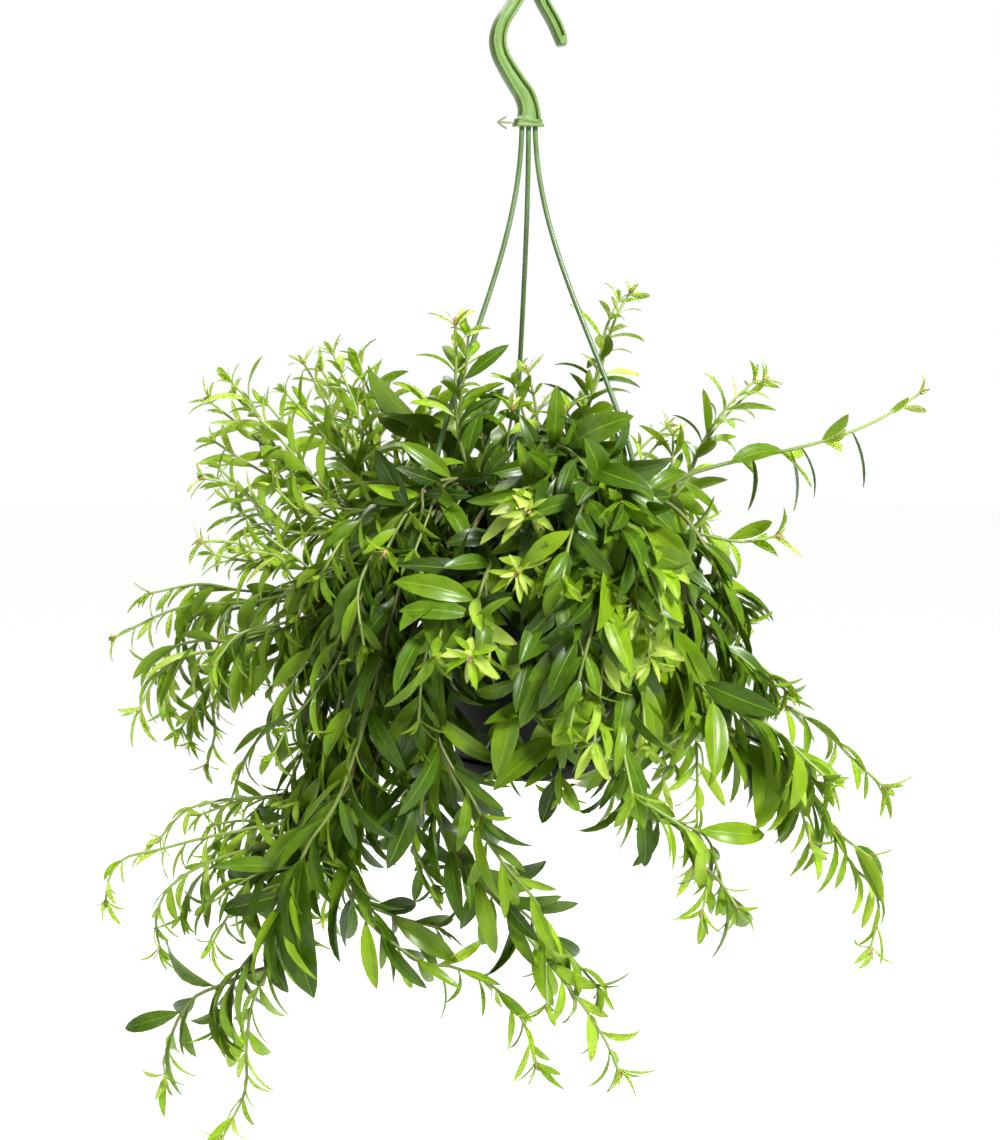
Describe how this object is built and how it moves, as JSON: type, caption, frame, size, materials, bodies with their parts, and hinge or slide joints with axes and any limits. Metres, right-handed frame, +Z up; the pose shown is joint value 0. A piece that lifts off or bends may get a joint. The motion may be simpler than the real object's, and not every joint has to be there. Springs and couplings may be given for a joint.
{
  "type": "hanging potted plant",
  "caption": "Trailing leafy houseplant in a round black hanging pot with a drip tray, hung by plastic strands from a moulded hook.",
  "frame": {"origin": "the saddle, the flat spot at the inner top of the hook's bow that rests on what the pot hangs from", "axes": "+Z up along the pot's axis, -Y towards the viewer of the picture, +X to the right"},
  "size_m": [0.4667, 0.3002, 0.6206],
  "materials": {
    "hook_plastic": "satin moulded plastic, yellow-green",
    "strand_plastic": "slightly translucent green plastic",
    "pot_plastic": "black moulded plastic with a soft sheen",
    "soil": "dark crumbly potting soil",
    "plant": "waxy thick green leaves on green stems"
  },
  "bodies": {
    "root": {"hook": "hook_plastic", "lock_arrow": "strand_plastic", "strand_left": "strand_plastic", "strand_back": "strand_plastic", "strand_right": "strand_plastic", "pot": "pot_plastic", "drip_tray": "pot_plastic", "soil": "soil", "stem_left_01": "plant", "stem_left_02": "plant", "stem_left_03": "plant", "stem_left_04": "plant", "stem_left_05": "plant", "stem_left_06": "plant", "stem_left_07": "plant", "stem_left_08": "plant", "stem_left_09": "plant", "stem_left_10": "plant", "stem_left_11": "plant", "stem_left_12": "plant", "stem_left_13": "plant", "stem_left_14": "plant", "stem_low_01": "plant", "stem_low_02": "plant", "stem_back_01": "plant", "stem_back_02": "plant", "stem_back_03": "plant", "stem_back_04": "plant", "stem_back_05": "plant", "stem_back_06": "plant", "stem_back_07": "plant", "stem_back_08": "plant", "stem_back_09": "plant", "stem_back_10": "plant", "stem_back_11": "plant", "stem_back_12": "plant", "stem_back_13": "plant", "stem_right_01": "plant", "stem_right_02": "plant", "stem_right_03": "plant", "stem_right_04": "plant", "stem_right_05": "plant", "stem_right_06": "plant", "stem_right_07": "plant", "stem_right_08": "plant", "stem_right_09": "plant", "stem_right_10": "plant", "stem_right_11": "plant", "stem_top_01": "plant", "stem_top_02": "plant", "stem_top_03": "plant", "stem_top_04": "plant", "stem_top_05": "plant", "stem_front_01": "plant", "stem_front_02": "plant", "stem_front_03": "plant", "stem_front_04": "plant", "stem_front_05": "plant", "stem_front_06": "plant", "stem_front_07": "plant"}
  },
  "joints": []
}
